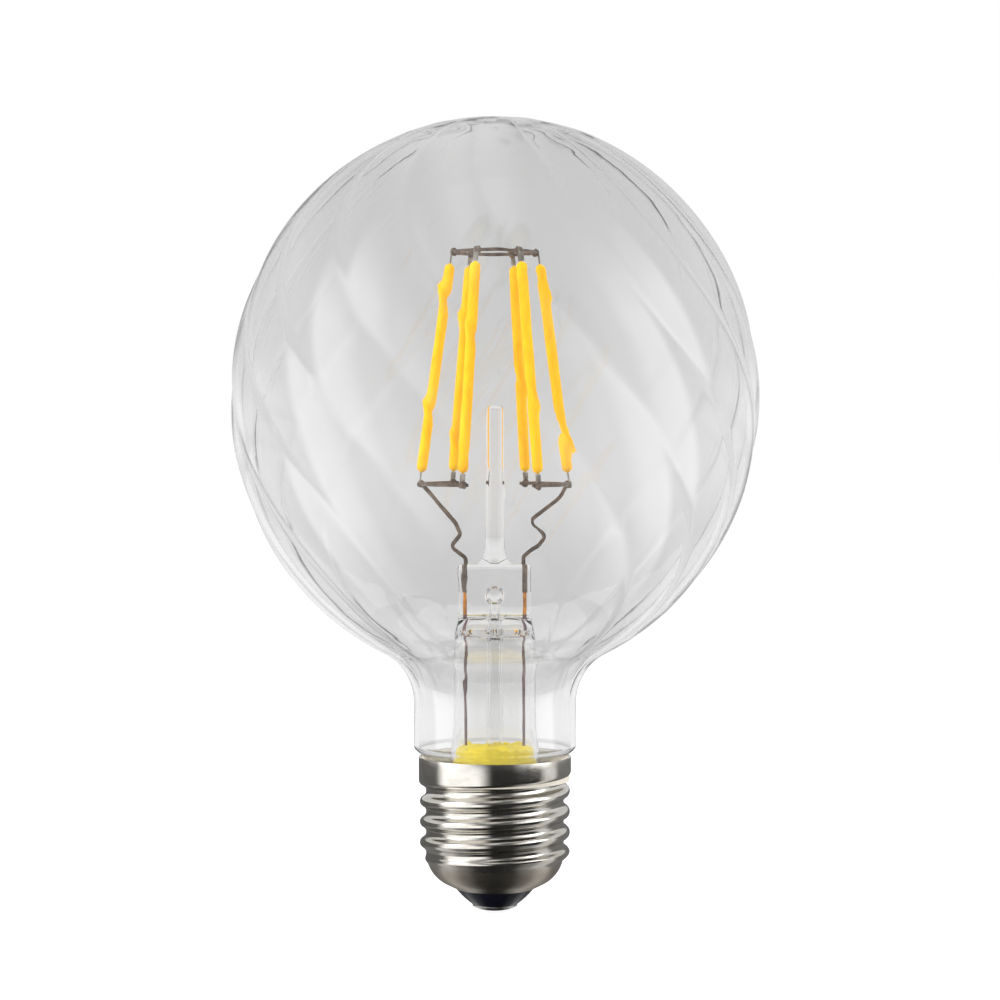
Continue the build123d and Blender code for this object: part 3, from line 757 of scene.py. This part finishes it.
class LAMP_OT_wires(Operator):
    """Finish the leads and wires, and add the beads of their welds"""

    bl_idname = "lamp.wires"
    bl_label = "Wires and welds"

    def execute(self, context):
        sizes = context.scene.lamp_filaments
        support = wire_metal("support_wire", sizes.wire)
        dress(support, "top_hoop")
        copper = wire_metal("seal_wire", (0.95, 0.36, 0.05))
        thin = wire_metal("thin_lead", (0.3, 0.17, 0.17))
        for side in SIDES:
            dress(support, f"inner_lead_{side}", f"bridge_wire_{side}")
            dress(copper, f"seal_wire_{side}")
            dress(thin, f"outer_lead_{side}")
        dress(wire_metal("tab_strip", (0.5, 0.46, 0.4)), "upper_end_tabs", "lower_end_tabs")
        self.weld_beads(sizes, support)
        return {"FINISHED"}

    def weld_beads(self, sizes, material):
        """Lumps of metal where the filaments' tabs cross their wires."""
        bead_r, lump, lump_share = 0.7 * MM, 0.5 * MM, 0.35
        hoop_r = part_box("top_hoop")[1].x - 0.3 * MM
        bridge_r = sizes.ring_radius + 0.05 * MM
        work = bmesh.new()
        for index in range(len(FILAMENT_NODES)):
            angle = filament_angle(sizes, index)
            for radius, z in ((hoop_r, HOOP_Z), (bridge_r, BRIDGE_Z)):
                place = Matrix.Translation(ring_point(angle, radius, z))
                made = bmesh.ops.create_icosphere(work, subdivisions=3, radius=bead_r, matrix=place)
                centre = place.translation
                for vert in made["verts"]:
                    out = vert.co - centre
                    vert.co = centre + out * (1 + lump_share * noise.noise(vert.co / lump))
        mesh = bpy.data.meshes.new("weld_beads")
        work.to_mesh(mesh)
        work.free()
        piece = add_piece("weld_beads", mesh)
        piece.data.materials.append(material)


def phosphor_coat(colour):
    """Yellow silicone coat, a little uneven, with a faint painted glow."""
    patch_size, bump_size, bump_depth = 1.6 * MM, 0.5 * MM, 0.05 * MM
    # The emission is a painted glow that brightens the phosphor; the filament is not lit.
    material = surface("phosphor_coat", Subsurface_Weight=0.15, Subsurface_Scale=0.4 * MM,
                       Specular_IOR_Level=0.15, Emission_Color=colour, Emission_Strength=0.12)
    patches = grain(material, patch_size, (1, 1, 2.5), detail=4.0)
    deep = (colour[0] * 0.94, colour[1] * 0.8, colour[2])
    mottle(material, patches, deep, colour, (0.35, 0.55), PATCHES)
    relief(material, grain(material, bump_size), bump_depth)
    return material


class LAMP_OT_filaments(Operator):
    """Coat the LED filaments"""

    bl_idname = "lamp.filaments"
    bl_label = "Filaments"

    def execute(self, context):
        sizes = context.scene.lamp_filaments
        material = phosphor_coat(sizes.phosphor)
        for index, node in enumerate(FILAMENT_NODES):
            piece = self.coat(sizes, index, node)
            piece.data.materials.append(material)
            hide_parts(node)
        return {"FINISHED"}

    def coat(self, sizes, index, node):
        """One filament: a slightly lumpy rod with rounded ends."""
        steps, columns, end, tab = 60, 24, 1.1 * MM, 1.9 * MM
        lump_length, lumps_round, apart = 4 * MM, 2.2, 7
        mean_share, lump_share = 0.97, 0.05
        angle = filament_angle(sizes, index)
        inward = ring_point(angle, -1, 0)
        up = inward * sin(sizes.lean) + Vector((0, 0, cos(sizes.lean)))
        across = ring_point(angle + pi / 2, 1, 0)
        through = up.cross(across)
        foot = ring_point(angle, sizes.ring_radius, BRIDGE_Z + tab)
        rows = []
        for step in range(1, steps):
            along = sizes.length * step / steps
            near = min(along, sizes.length - along)
            taper = min(near / end, 1.0)
            radius = sizes.radius * (1 - (1 - taper) ** 2) ** 0.5
            row = []
            for around in round_angles(columns):
                out = across * cos(around) + through * sin(around)
                lump = noise.noise(Vector((
                    along / lump_length, lumps_round * cos(around),
                    lumps_round * sin(around) + apart * index)))
                row.append(foot + up * along + out * radius * (mean_share + lump_share * lump))
            rows.append(row)
        return spun_mesh(node + "_coat", rows, (foot, foot + up * sizes.length))


# Driver

class LAMP_OT_driver(Operator):
    """Finish the adhesive and the driver inside the cap"""

    bl_idname = "lamp.driver"
    bl_label = "Driver and adhesive"

    def execute(self, context):
        glue = context.scene.lamp_filaments.adhesive
        self.adhesive(context.scene.lamp_stem, moulding(
            "cured_adhesive", glue, grain_size=1.2 * MM, roughness=(0.3, 0.5), depth=0.12 * MM))
        dress(moulding("board_laminate", (0.7, 0.68, 0.6), grain_size=0.4 * MM), "driver_board")
        package = moulding("moulded_package", (0.03, 0.03, 0.032), grain_size=0.15 * MM, roughness=(0.5, 0.7))
        dress(package, "rectifier", "driver_chip")
        sleeve = moulding("capacitor_sleeve", (0.02, 0.022, 0.03), grain_size=0.5 * MM, roughness=(0.25, 0.4))
        dress(sleeve, "smoothing_capacitor")
        dress(moulding("resistor_lacquer", (0.2, 0.36, 0.28), roughness=(0.2, 0.4)), "fuse_resistor")
        dress(wire_metal("driver_wire", (0.5, 0.26, 0.14)), "live_wire", "neutral_wire")
        return {"FINISHED"}

    def adhesive(self, sizes, material):
        """Lumpy plug of adhesive in the flare's mouth."""
        columns, up, rings = 96, 8, 14
        lump, edge_swell, hump_height, clearance = 1.9 * MM, 1.5 * MM, 0.7 * MM, 0.03 * MM
        edge_r, hump_level = 8 * MM, 5 * MM
        edge_z = ADHESIVE_TOP_Z - 1.0 * MM
        crown_z = edge_z + 0.3 * MM
        bore_r, rim_r = (r - sizes.tube_wall - clearance for r in (sizes.tube_radius, sizes.rim_radius))
        angles = round_angles(columns)
        edges = [edge_z + edge_swell * noise.noise(ring_point(angle, edge_r, 0) / lump) for angle in angles]
        rows = []
        for step in range(up + 1):
            heights = [ADHESIVE_FOOT_Z + (edge - ADHESIVE_FOOT_Z) * step / up for edge in edges]
            rows.append([ring_point(angle, flare_radius(sizes, bore_r, rim_r, z), z)
                         for angle, z in zip(angles, heights)])
        for ring in range(1, rings):
            share = ring / rings
            row = []
            for angle, edge in zip(angles, edges):
                r = flare_radius(sizes, bore_r, rim_r, edge) * (1 - share)
                hump = noise.noise(ring_point(angle, r, hump_level) / lump)
                z = edge + (crown_z - edge) * smoothstep(0, 0.35, share)
                z += hump_height * hump * smoothstep(0, 0.2, share)
                row.append(ring_point(angle, r, min(z, ADHESIVE_TOP_Z)))
            rows.append(row)
        piece = spun_mesh("adhesive", rows, (Vector((0, 0, ADHESIVE_FOOT_Z)), Vector((0, 0, crown_z))))
        piece.data.materials.append(material)
        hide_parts("driver_adhesive")


# Studio

# Brightness of the tent from straight ahead, 0, to the side, 1: its front as the glass mirrors it,
# its front seen through glass, and its back
MIRRORED_FRONT = ((0.0, 0.03), (0.4, 0.05), (0.75, 0.4), (0.95, 1.0))
CLEAR_FRONT = ((0.0, 0.19), (0.4, 0.195), (0.95, 0.25))
BACK = ((0.0, 0.22), (0.05, 0.22), (0.1, 0.212), (0.3, 0.23), (0.6, 0.255), (0.95, 0.29))
# Strength of the tent's light, and the least share of it that shows through glass
SIDE_LIGHT = 3.8
VEIL = 0.19

# Bands of the ring round the cap: degrees right of the front, and brightness
CAP_BANDS = ((-180, 0.1), (-86, 0.09), (-68, 1.0), (-24, 1.0), (-2, 0.02), (58, 0.02), (73, 0.55), (84, 0.55),
             (98, 0.15), (180, 0.1))

# Place, width, height and brightness against white of each soft lamp, and the point that they face
SOFTBOXES = {
    "softbox_left": ((-0.62, -0.34, 0.2), 0.4, 0.8, 8.0),
    "softbox_right": ((0.66, 0.0, 0.2), 0.4, 0.8, 6.0),
    "softbox_top": ((-0.1, -0.3, 0.9), 0.6, 0.4, 7.0),
}
LAMP_MIDDLE = (0, 0, 0.085)


def aim(thing, place, target):
    """Puts a lamp or the camera at a place, facing a target."""
    thing.location = place
    thing.rotation_euler = (Vector(target) - Vector(place)).to_track_quat("-Z", "Y").to_euler()


def backdrop_share(owner):
    """1 for rays that show the background: straight, mirrored or through glass."""
    path = add_node(owner, "ShaderNodeLightPath").outputs
    plain = combine(owner, "MAXIMUM", path["Is Camera Ray"], path["Is Glossy Ray"])
    return combine(owner, "MAXIMUM", plain, path["Is Transmission Ray"])


class LAMP_OT_stage(Operator):
    """Set up the floor, lamps, tent and camera"""

    bl_idname = "lamp.stage"
    bl_label = "Studio"

    def execute(self, context):
        sizes = context.scene.lamp_stage
        context.scene.view_settings.view_transform = "Standard"
        self.world(context.scene, sizes)
        self.floor(sizes)
        for name, (place, width, height, brightness) in SOFTBOXES.items():
            self.softbox(name, place, width, height, brightness)
        self.tent()
        self.tent_floor()
        self.cap_ring()
        self.camera(context.scene, sizes)
        return {"FINISHED"}

    def world(self, scene, sizes, fill=0.6):
        """White where the background shows, and a soft fill everywhere else."""
        world = bpy.data.worlds.new("studio")
        scene.world = world
        world.use_nodes = True
        nodes, colour = world.node_tree.nodes, (*sizes.backdrop, 1.0)
        soft = nodes["Background"]
        soft.inputs["Color"].default_value = colour
        soft.inputs["Strength"].default_value = fill
        white = add_node(world, "ShaderNodeBackground", {"Color": colour})
        mix = add_node(world, "ShaderNodeMixShader", {
            0: backdrop_share(world), 1: soft.outputs["Background"], 2: white.outputs["Background"]})
        world.node_tree.links.new(mix.outputs["Shader"], nodes["World Output"].inputs["Surface"])

    def floor(self, sizes, half=6.0, own_light=0.83, albedo=0.34):
        """Pale floor that joins the background and keeps a soft shadow."""
        corners = [(-half, -half, 0), (half, -half, 0), (half, half, 0), (-half, half, 0)]
        floor = add_object("floor", new_mesh("floor", corners, [(0, 1, 2, 3)]))
        floor.location.z = -0.2 * MM
        material = surface("pale_floor", Base_Color=darker(sizes.backdrop, albedo), Roughness=0.9,
                           Specular_IOR_Level=0.0, Emission_Color=sizes.backdrop)
        feed(material, "Emission Strength", spread(material, backdrop_share(material), 0, own_light))
        floor.data.materials.append(material)

    def softbox(self, name, place, width, height, brightness):
        """Soft rectangular lamp of a brightness against white."""
        lamp = bpy.data.lights.new(name, "AREA")
        lamp.shape = "RECTANGLE"
        lamp.size, lamp.size_y = width, height
        lamp.energy = brightness * pi * width * height
        box = add_object(name, lamp)
        aim(box, place, LAMP_MIDDLE)
        box.visible_camera = box.visible_glossy = box.visible_transmission = False

    def cloth(self, name, rows, through=True):
        """Cloth that only mirrors and glass see, its material, and the place on it as X, Y, Z."""
        cloth = add_object(name, new_mesh(name, *skin(rows)))
        cloth.visible_camera = cloth.visible_diffuse = cloth.visible_shadow = False
        cloth.visible_transmission = through
        material = surface(name, Base_Color=(0, 0, 0), Roughness=1.0, Specular_IOR_Level=0.0,
                           Emission_Color=(1, 1, 1))
        cloth.data.materials.append(material)
        return material, place_on(material)

    def surround(self, material, place):
        """Light by bearing, the distance from the axis, and the shares behind the lamp and through glass."""
        squares = [combine(material, "POWER", place[axis], 2.0) for axis in ("X", "Y")]
        reach = combine(material, "SQRT", combine(material, "ADD", *squares))
        sideways = combine(material, "ABSOLUTE", combine(material, "DIVIDE", place["X"], reach))
        back = soft_rise(material, combine(material, "DIVIDE", place["Y"], reach), -0.1, 0.1)
        through = add_node(material, "ShaderNodeLightPath").outputs["Is Transmission Ray"]
        mirrored, clear, behind = (
            ramp(material, sideways, stops) for stops in (MIRRORED_FRONT, CLEAR_FRONT, BACK))
        front = blend_colours(material, through, mirrored, clear)
        return blend_colours(material, back, front, behind), reach, back, through

    def tent(self, radius=0.7):
        """Tent with bright sides, dark behind the camera and overhead, that the glass mirrors."""
        around, up, top = 64, 24, 0.99 * pi / 2
        levels = [top * row / up for row in range(up + 1)]
        rows = [ring_row(radius * cos(level), radius * sin(level), around) for level in levels]
        material, place = self.cloth("tent", rows)
        light, _, back, through = self.surround(material, place)
        stripe_edges, dark, pale = ((-0.3, -0.1), (0.14, -0.06)), 0.03, 0.27
        stripe = combine(material, "MULTIPLY", *(
            soft_rise(material, place["X"], *edge) for edge in stripe_edges))
        below = soft_rise(material, place["Z"], 0.95 * radius, 0.5 * radius)
        light = blend_colours(material, below, spread(material, stripe, dark, pale), light)
        high_back, low_back = (0.06, 0.19, 0.79), (0.06, 0.01, 0.86)
        for start_z, full_z, dimmed in (high_back, low_back):
            share = combine(material, "MULTIPLY", back, soft_rise(material, place["Z"], start_z, full_z))
            light = combine(material, "MULTIPLY", light, spread(material, share, 1, dimmed))
        veiled = combine(material, "MAXIMUM", light, spread(material, through, 0, VEIL))
        feed(material, "Emission Strength", combine(material, "MULTIPLY", veiled, SIDE_LIGHT))

    def tent_floor(self, radius=0.697):
        """Floor of the tent, which darkens towards the lamp with a painted shadow of it."""
        around, steps, hole_r = 72, 12, 0.002
        rows = [ring_row(hole_r + radius * step / steps, 0, around) for step in range(steps + 1)]
        material, place = self.cloth("tent_floor", rows)
        light, reach, _, through = self.surround(material, place)
        # Painted shadow: near the axis the cloth's light drops, as if the lamp shaded the floor under it.
        dark_r, bright_r, shadow_light = 0.035, 0.13, 0.2
        near = spread(material, soft_rise(material, reach, dark_r, bright_r), shadow_light, 1)
        light = combine(material, "MULTIPLY", light, near)
        inner_r, outer_r, inner_veil = 0.35, 0.65, 0.26
        veil = spread(material, reach, inner_veil, VEIL, inner_r, outer_r)
        veiled = combine(material, "MAXIMUM", light, combine(material, "MULTIPLY", through, veil))
        feed(material, "Emission Strength", combine(material, "MULTIPLY", veiled, SIDE_LIGHT))

    def cap_ring(self, radius=0.04, height=0.0235, brightest=1.55):
        """Low ring of black and white card round the cap, for the bands on its plate."""
        around = 90
        rows = [ring_row(radius, z, around) for z in (0, height)]
        material, place = self.cloth("cap_ring", rows, through=False)
        forward = combine(material, "MULTIPLY", place["Y"], -1.0)
        bearing = combine(material, "ARCTAN2", place["X"], forward)
        light = ramp(material, spread(material, bearing, 0, 1, -pi, pi), [
            ((degrees + 180) / 360, value) for degrees, value in CAP_BANDS])
        feed(material, "Emission Strength", combine(material, "MULTIPLY", light, brightest))
        lit = bpy.data.collections.new("lit_by_cap_ring")
        for name in ("screw_shell_rolled", "insulator", "centre_contact", "basing_cement"):
            lit.objects.link(bpy.data.objects[name])
        bpy.data.objects["cap_ring"].light_linking.receiver_collection = lit

    def camera(self, scene, sizes):
        """Camera in front of the lamp, a little above its middle."""
        lens = bpy.data.cameras.new("camera")
        lens.lens = lens.sensor_width * sizes.camera_distance / sizes.frame_width
        camera = add_object("camera", lens)
        centre = Vector(sizes.frame_centre)
        aim(camera, (centre.x, -sizes.camera_distance, sizes.camera_height), centre)
        scene.camera = camera


# Add-on

class LAMP_PT_pieces(Panel):
    """Lists the lamp's pieces and their sizes"""

    bl_idname = "LAMP_PT_pieces"
    bl_label = "Globe Lamp"
    bl_space_type = "VIEW_3D"
    bl_region_type = "UI"
    bl_category = "Lamp"

    def draw(self, context):
        layout = self.layout
        for operator in OPERATORS:
            layout.operator(operator.bl_idname)
        for name, group in GROUPS.items():
            box = layout.box()
            for setting in group.__annotations__:
                box.prop(getattr(context.scene, name), setting)


GROUPS = {
    "lamp_envelope": EnvelopeSettings,
    "lamp_cap": CapSettings,
    "lamp_stem": StemSettings,
    "lamp_filaments": FilamentSettings,
    "lamp_stage": StageSettings,
}
OPERATORS = (LAMP_OT_envelope, LAMP_OT_screw_shell, LAMP_OT_cap_end, LAMP_OT_stem, LAMP_OT_wires,
             LAMP_OT_filaments, LAMP_OT_driver, LAMP_OT_stage)
CLASSES = (*GROUPS.values(), *OPERATORS, LAMP_PT_pieces)


def register():
    for cls in CLASSES:
        bpy.utils.register_class(cls)
    for name, group in GROUPS.items():
        setattr(bpy.types.Scene, name, PointerProperty(type=group))


def unregister():
    for name in GROUPS:
        delattr(bpy.types.Scene, name)
    for cls in reversed(CLASSES):
        bpy.utils.unregister_class(cls)


def main():
    """Builds the lamp."""
    register()
    bpy.ops.lamp.envelope()
    bpy.ops.lamp.screw_shell()
    bpy.ops.lamp.cap_end()
    bpy.ops.lamp.stem()
    bpy.ops.lamp.wires()
    bpy.ops.lamp.filaments()
    bpy.ops.lamp.driver()
    bpy.ops.lamp.stage()


if __name__ == "__main__":
    main()
